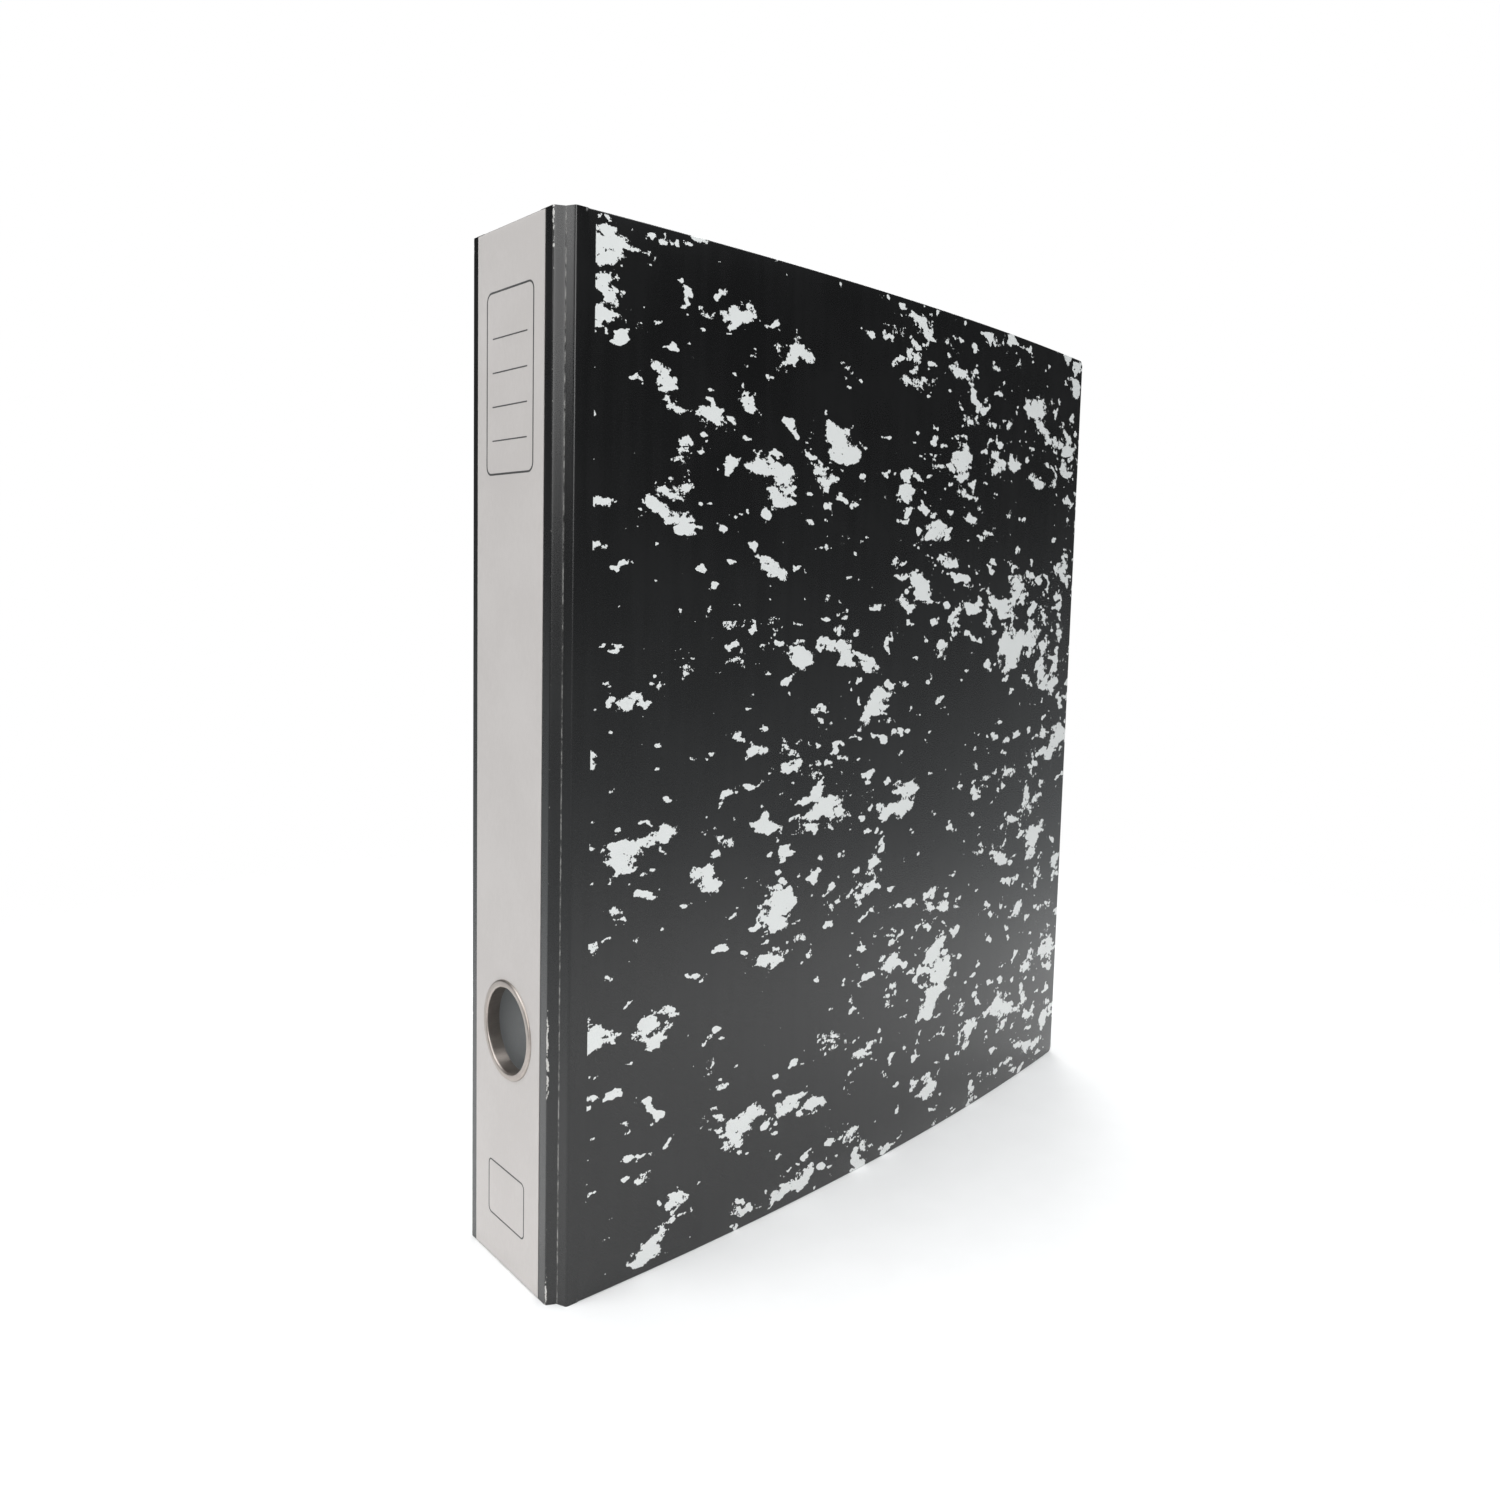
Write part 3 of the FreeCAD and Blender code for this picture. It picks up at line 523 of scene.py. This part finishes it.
def make_plastic(name):
    """Black nylon with a fine moulded grain."""
    shade = Shade(name)
    place = shade.place()
    grain = shade.noise(place, 2400, 3, 0.6)
    rubbed = shade.noise(place, 320, 3, 0.6)
    worn = shade.step(rubbed, 0.45, 0.7)
    shade.set(Base_Color=shade.mix(worn, colour(0.018, 0.018, 0.019), colour(0.04, 0.04, 0.041)))
    shade.set(Roughness=shade.step(grain, 0.3, 0.7, 0.38, 0.55))
    shade.bump(grain, 0.00003, 0.5)
    return shade.material


MARBLED = make_wrap("marbled_wrap", True)
PLAIN = make_wrap("plain_wrap", False)
LABEL = make_paper(
    "label_paper", colour(0.50, 0.473, 0.458), colour(0.53, 0.503, 0.488), 0.5, 1400, 0.000015
)
LINING = make_paper("lining_paper", colour(0.69, 0.705, 0.71), colour(0.74, 0.755, 0.76), 0.75)
INK = make_paper("label_ink", colour(0.05, 0.05, 0.05), colour(0.085, 0.085, 0.085), 0.6)
RING_METAL = make_metal(
    "satin_nickel", colour(0.40, 0.355, 0.325), colour(0.48, 0.435, 0.40), 0.32, 0.42, (1, 0.2, 1)
)
SHEET_METAL = make_metal(
    "plated_steel", colour(0.49, 0.49, 0.5), colour(0.56, 0.56, 0.565), 0.27, 0.34, (1, 1, 0.08)
)
WIRE_METAL = make_metal("bright_steel", colour(0.66, 0.66, 0.66), colour(0.72, 0.72, 0.715), 0.12, 0.2)
RIVET_METAL = make_metal("dull_nickel", colour(0.44, 0.43, 0.41), colour(0.52, 0.51, 0.48), 0.32, 0.42)
SPRING_METAL = make_metal(
    "blued_steel", colour(0.13, 0.14, 0.17), colour(0.18, 0.19, 0.22), 0.28, 0.38, (1, 0.1, 1)
)
NYLON = make_plastic("black_nylon")


def dress(thing, material):
    thing.data.materials.clear()
    thing.data.materials.append(material)


def place_piece(thing, material, body, slot, *replaced):
    """Gives a rigid piece its material and its body, and hides the nodes that it stands for; slot is not
    used.
    """
    dress(thing, material)
    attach(thing, body)
    if replaced:
        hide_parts(*replaced)


# ---- camera, light and floor ----


def make_camera():
    data = bpy.data.cameras.new("camera")
    data.sensor_width = 36
    data.lens = 29.22
    data.shift_x = -0.0594
    data.shift_y = -0.0389
    data.clip_start = 0.01
    camera = bpy.data.objects.new("camera", data)
    scene.collection.objects.link(camera)
    forward = Vector((-0.7457, 0.6599, -0.0919)).normalized()
    right = Vector((0.6604, 0.7503, 0.0294))
    right = (right - forward * right.dot(forward)).normalized()
    up = right.cross(forward)
    turn = Matrix((right, up, -forward)).transposed()
    # The place was fitted from the spine's near corner, so it moves with the frame's own corner.
    corner = Vector((MIDDLE_X + HALF_SPINE, FACE_Y, 0))
    place = corner + Vector((312.3, -166.6, 218.0)) * MM
    camera.matrix_world = Matrix.Translation(place) @ turn.to_4x4()
    scene.camera = camera


def make_area(name, place, target, size, power):
    data = bpy.data.lights.new(name, "AREA")
    data.shape = "DISK"
    data.size = size
    data.energy = power
    light = bpy.data.objects.new(name, data)
    light.location = place
    light.rotation_euler = (Vector(target) - Vector(place)).to_track_quat("-Z", "Y").to_euler()
    light.visible_camera = False
    scene.collection.objects.link(light)


def make_world():
    """White to the camera. The light it casts is bright from below, dark at the horizon and soft overhead."""
    world = bpy.data.worlds.new("studio")
    scene.world = world
    world.use_nodes = True
    tree = world.node_tree
    seen, cast = tree.nodes["Background"], tree.nodes.new("ShaderNodeBackground")
    seen.inputs["Color"].default_value = colour(1, 1, 1)
    place, split = tree.nodes.new("ShaderNodeTexCoord"), tree.nodes.new("ShaderNodeSeparateXYZ")
    ramp = tree.nodes.new("ShaderNodeValToRGB")
    # From straight below at 0, through the horizon at 0.5, to straight overhead at 1.
    low_stops = ((0.0, 1.0), (0.3, 1.0), (0.38, 0.7), (0.43, 0.35), (0.49, 0.2))
    stops = low_stops + ((0.52, 0.06), (0.68, 0.05), (1.0, 0.8))
    while len(ramp.color_ramp.elements) < len(stops):
        ramp.color_ramp.elements.new(0.5)
    for element, (position, level) in zip(ramp.color_ramp.elements, stops):
        element.position = position
        element.color = colour(level * 0.94, level * 0.98, level)
    height = tree.nodes.new("ShaderNodeMapRange")
    height.inputs["From Min"].default_value = -1
    tree.links.new(place.outputs["Generated"], split.inputs[0])
    tree.links.new(split.outputs["Z"], height.inputs["Value"])
    tree.links.new(height.outputs["Result"], ramp.inputs[0])
    tree.links.new(ramp.outputs[0], cast.inputs["Color"])
    path, mix = tree.nodes.new("ShaderNodeLightPath"), tree.nodes.new("ShaderNodeMixShader")
    tree.links.new(path.outputs["Is Camera Ray"], mix.inputs[0])
    tree.links.new(cast.outputs[0], mix.inputs[1])
    tree.links.new(seen.outputs[0], mix.inputs[2])
    tree.links.new(mix.outputs[0], tree.nodes["World Output"].inputs["Surface"])


def make_floor():
    """A pale round floor that thins out far from the object, so no horizon shows."""
    bm = bmesh.new()
    bmesh.ops.create_circle(bm, cap_ends=True, segments=96, radius=3.0)
    floor = from_bmesh("floor", bm)
    shade = Shade("floor_white")
    far = shade.node("ShaderNodeVectorMath", Vector=shade.place())
    far.operation = "LENGTH"
    grain = shade.noise(shade.place(), 60, 3, 0.5)
    shade.set(Base_Color=shade.mix(grain, colour(0.86, 0.86, 0.86), colour(0.9, 0.9, 0.9)), Roughness=0.6)
    shade.set(Alpha=shade.step(far.outputs["Value"], 0.2, 0.58, 1.0, 0.0))
    dress(floor, shade.material)


make_camera()
make_world()
make_floor()
make_area("key", (-0.5, -1.7, 1.1), (0, 0, 0.15), 1.1, 10)
make_area("top", (0.4, -0.2, 2.1), (0, 0, 0.0), 3.4, 52)
make_area("side", (1.3, -1.2, 0.8), (0, 0, 0.12), 1.2, 13)
make_area("rear", (-1.5, 1.1, 1.2), (0, 0, 0.15), 1.2, 15)

scene.view_settings.view_transform = "Standard"

# ---- the case ----


def make_cover(side, point, length, unroll, body):
    wrap = slab(f"{side}_cover_wrap", point, length, CORE, unroll, start=COVER_SEAM)
    place_piece(wrap, MARBLED, body, "printed_paper", f"{side}_cover_paper", f"{side}_board")
    sheet = slab(
        f"{side}_lining_sheet",
        point,
        length,
        PAPER,
        unroll,
        start=COVER_LINING_SEAM,
        inset=LINING_INSET,
        lift=CORE,
        edge=0.06 * MM,
        corner=0.4 * MM,
    )
    place_piece(sheet, LINING, body, "lining_paper", f"{side}_lining")


def hinge_lines(side):
    """Three lines across a hinge, from the spine's seam to the cover's: outside, inside and lining."""
    point = front_point if side == "front" else back_point

    def cover(along, depth):
        co = point(along, 0, depth)
        return Vector((abs(co.x - MIDDLE_X), co.y - FACE_Y))

    groove = Vector((GROOVE.x, GROOVE.y))
    groove_inside = groove + Vector((-0.45, 0.45)) * MM
    shoulder = cover(0, 0)
    outer = rounded(
        [(SPINE_SEAM, 0), (HALF_SPINE, 0), groove, shoulder, cover(COVER_SEAM, 0)],
        [0.6 * MM, 0.7 * MM, 0.9 * MM],
    )
    inner = rounded(
        [
            cover(COVER_SEAM, CORE),
            cover(0.1 * MM, CORE),
            shoulder + Vector((-1.45, -0.1)) * MM,
            groove_inside,
            (HALF_SPINE, 1.4 * MM),
            (HALF_SPINE, CORE),
            (SPINE_SEAM, CORE),
        ],
        [0.4 * MM, 0.15 * MM, 0.3 * MM, 0.15 * MM, 0.3 * MM],
        3,
    )
    glued = rounded(
        [
            (LINING_SEAM, CORE),
            (HALF_SPINE - 0.1 * MM, CORE),
            groove_inside + Vector((-0.1, 0.1)) * MM,
            cover(0.2 * MM, CORE),
            cover(COVER_LINING_SEAM, CORE),
        ],
        [0.4 * MM, 0.6 * MM, 0.6 * MM],
    )
    return refined(outer), refined(inner), refined(glued)


def path_finder(line):
    """A function that gives a point's distance along a 2-D line, measured from the spine's corner."""
    stops = [0.0]
    for one, two in zip(line, line[1:]):
        stops.append(stops[-1] + (two - one).length)
    corner = HALF_SPINE - SPINE_SEAM

    def find(spot):
        best = None
        for (one, two), stop in zip(zip(line, line[1:]), stops):
            run = two - one
            if run.length < 1e-9:
                continue
            share = min(max((spot - one).dot(run) / run.length_squared, 0), 1)
            off = (one + run * share - spot).length
            if best is None or off < best[0]:
                best = (off, stop + run.length * share)
        return best[1] - corner, best[0]

    return find


def make_hinge(side):
    sign = 1 if side == "front" else -1
    outer, inner, glued = hinge_lines(side)
    find = path_finder(outer)

    def mirrored(line):
        return [Vector((sign * p.x, p.y)) for p in line]

    def unroll(co):
        # The third number tells the outside, which shows wear, from the inside.
        along, off = find(Vector((abs(co.x - MIDDLE_X), co.y - FACE_Y)))
        return Vector((along, co.z, 0 if off < 0.3 * MM else 1))

    point = front_point if side == "front" else back_point
    far = point(0, 0, 0)

    wrap = prism(f"{side}_hinge_wrap", mirrored(outer + inner), 0, HEIGHT, HINGE_EDGE)
    set_flat(wrap, unroll)
    dress(wrap, PLAIN)
    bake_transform(wrap)
    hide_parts(f"{side}_hinge_strip")

    outline = glued + offset(glued, PAPER)[::-1]
    lining = prism(f"{side}_hinge_lining", mirrored(outline), LINING_INSET, HEIGHT - LINING_INSET, 0)
    dress(lining, LINING)
    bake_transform(lining)


def rectangle(left, near, right, far):
    return [Vector((left, near)), Vector((right, near)), Vector((right, far)), Vector((left, far))]


def make_spine():
    hole = Vector(((RING_LOW.x + RING_HIGH.x) / 2, FACE_Y, (RING_LOW.z + RING_HIGH.z) / 2))
    wrap = prism("spine_wrap", rectangle(-SPINE_SEAM, 0, SPINE_SEAM, CORE), 0, HEIGHT, HINGE_EDGE)
    pierce(wrap, WRAP_HOLE, hole, HOLE_LENGTH)
    set_flat(wrap, lambda co: Vector((0.1, co.z, 0)))
    place_piece(wrap, PLAIN, "spine", "printed_paper", "spine_paper", "spine_board")

    lining = prism(
        "spine_lining_sheet",
        rectangle(-LINING_SEAM, CORE, LINING_SEAM, WALL),
        LINING_INSET,
        HEIGHT - LINING_INSET,
        0,
    )
    pierce(lining, LINING_HOLE, hole, HOLE_LENGTH)
    place_piece(lining, LINING, "spine", "lining_paper", "spine_lining")

    left, right = LABEL_LOW.x - MIDDLE_X, LABEL_HIGH.x - MIDDLE_X
    thick = LABEL_HIGH.y - LABEL_LOW.y
    label = prism(
        "spine_label_sheet", rectangle(left, -thick, right, 0), 0.25 * MM, HEIGHT - 0.25 * MM, 0.05 * MM
    )
    pierce(label, LABEL_HOLE, hole, HOLE_LENGTH)
    place_piece(label, LABEL, "spine", "label_paper", "spine_label")
    return hole, thick


def make_label_print(thick):
    """Two bare write-on panels: a thin round-cornered frame with ruled lines, and a smaller frame."""
    middle = (LABEL_LOW.x + LABEL_HIGH.x) / 2
    face = FACE_Y - thick
    ink = 0.02 * MM
    bm = bmesh.new()

    def bar(left, low, right, high):
        corners = [(left, low), (right, low), (right, high), (left, high)]
        front = [bm.verts.new((middle + x, face - ink, z)) for x, z in corners]
        rear = [bm.verts.new((middle + x, face + ink, z)) for x, z in corners]
        bm.faces.new(front)
        bm.faces.new(rear[::-1])
        for k in range(4):
            nxt = (k + 1) % 4
            bm.faces.new((front[k], rear[k], rear[nxt], front[nxt]))

    def panel(half, low, high, corner, stroke):
        rims = []
        for shrink in (0, stroke):
            rim = []
            for cx, cz, start in (
                (half - corner, high - corner, 0),
                (-half + corner, high - corner, 1),
                (-half + corner, low + corner, 2),
                (half - corner, low + corner, 3),
            ):
                for step in range(9):
                    angle = math.pi / 2 * (start + step / 8)
                    reach = corner - shrink
                    rim.append((cx + reach * math.cos(angle), cz + reach * math.sin(angle)))
            rims.append(rim)
        sides = []
        for y in (face - ink, face + ink):
            sides += [[bm.verts.new((middle + x, y, z)) for x, z in rim] for rim in rims]
        count = len(rims[0])
        order = (0, 1, 3, 2)
        for one, two in zip(order, order[1:] + order[:1]):
            for k in range(count):
                nxt = (k + 1) % count
                bm.faces.new((sides[one][k], sides[one][nxt], sides[two][nxt], sides[two][k]))

    panel(half=15 * MM, low=246 * MM, high=300 * MM, corner=3 * MM, stroke=0.6 * MM)
    for height in (286, 276, 266, 256):
        bar(left=-11 * MM, low=height * MM, right=11 * MM, high=(height + 0.4) * MM)
    panel(half=12 * MM, low=14 * MM, high=32 * MM, corner=2 * MM, stroke=0.5 * MM)
    printed = from_bmesh("label_rules", bm)
    place_piece(printed, INK, "spine", "label_paper")


def make_finger_ring(hole):
    """The eyelet: a softly domed flange outside, a thin barrel, and the lip rolled over the washer inside."""
    flange = (RING_HIGH.x - RING_LOW.x) / 2
    washer_face = WALL + RING_WASHER
    proud = FACE_Y - RING_LOW.y
    deep = RING_HIGH.y - FACE_Y
    label = FACE_Y - LABEL_LOW.y
    profile = rounded(
        [
            (RING_BORE, deep),
            (RING_BORE, -proud),
            (flange, -proud),
            (flange, -label),
            (RING_BORE + RING_BARREL, -label),
            (RING_BORE + RING_BARREL, washer_face),
            (RING_BORE + RING_LIP, washer_face),
            (RING_BORE + RING_LIP, deep),
            (RING_BORE, deep),
        ],
        [0.62 * MM, 0.62 * MM, 0.02 * MM, 0, 0, 0.05 * MM, 0.3 * MM],
        10,
    )[:-1]
    ring = lathe("finger_ring_eyelet", [(p.x, p.y) for p in profile], hole)
    place_piece(ring, RING_METAL, "spine", "ring_metal", "finger_ring_outer")


make_cover("front", front_point, Bow.length, unroll_front, "front_cover")
make_cover("back", back_point, BACK_LENGTH, unroll_back, "back_cover")
make_hinge("front")
make_hinge("back")
finger_hole, label_thickness = make_spine()
make_label_print(label_thickness)
make_finger_ring(finger_hole)

# ---- the mechanism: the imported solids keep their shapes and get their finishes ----

FINISHES = {
    "finger_ring_inner": RING_METAL,
    "base_plate": SHEET_METAL,
    "mechanism_rivets": RIVET_METAL,
    "post_upper": WIRE_METAL,
    "post_lower": WIRE_METAL,
    "lever_pivot_pin": RIVET_METAL,
    "spring_rivets": RIVET_METAL,
    "lever": SHEET_METAL,
    "roller_axle": RIVET_METAL,
    "roller": NYLON,
    "arch_wire": WIRE_METAL,
    "compressor_bar": SHEET_METAL,
    "compressor_bush_upper": NYLON,
    "compressor_bush_lower": NYLON,
}
for node, material in FINISHES.items():
    dress(frame["nodes"][node], material)


def make_leaf_spring():
    """The blade under the crank, built of many short steps along its length."""
    low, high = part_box("leaf_spring")
    sheet = 0.8 * MM
    rise = high.x - low.x - sheet
    bend = 18 * MM
    steps = 60
    half = (high.z - low.z) / 2
    middle = (low.z + high.z) / 2
    bm = bmesh.new()
    rings = []
    for step in range(steps + 1):
        y = low.y + (high.y - low.y) * step / steps
        lift = low.x + rise * max(0.0, 1 - (y - low.y) / bend)
        from_end = min(y - low.y, high.y - y)
        round_off = 2.5 * MM
        pinch = round_off - math.sqrt(max(0.0, round_off**2 - max(0.0, round_off - from_end) ** 2))
        wide = half - pinch
        soft = 0.15 * MM
        section = [
            (0, -wide + soft),
            (0, wide - soft),
            (soft, wide),
            (sheet - soft, wide),
            (sheet, wide - soft),
            (sheet, -wide + soft),
            (sheet - soft, -wide),
            (soft, -wide),
        ]
        rings.append([bm.verts.new((lift + dx, y, middle + dz)) for dx, dz in section])
    for one, two in zip(rings, rings[1:]):
        for k in range(8):
            nxt = (k + 1) % 8
            bm.faces.new((one[k], one[nxt], two[nxt], two[k]))
    bm.faces.new(rings[0][::-1])
    bm.faces.new(rings[-1])
    spring = from_bmesh("leaf_spring_blade", bm)
    dress(spring, SPRING_METAL)
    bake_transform(spring)
    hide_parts("leaf_spring")


make_leaf_spring()
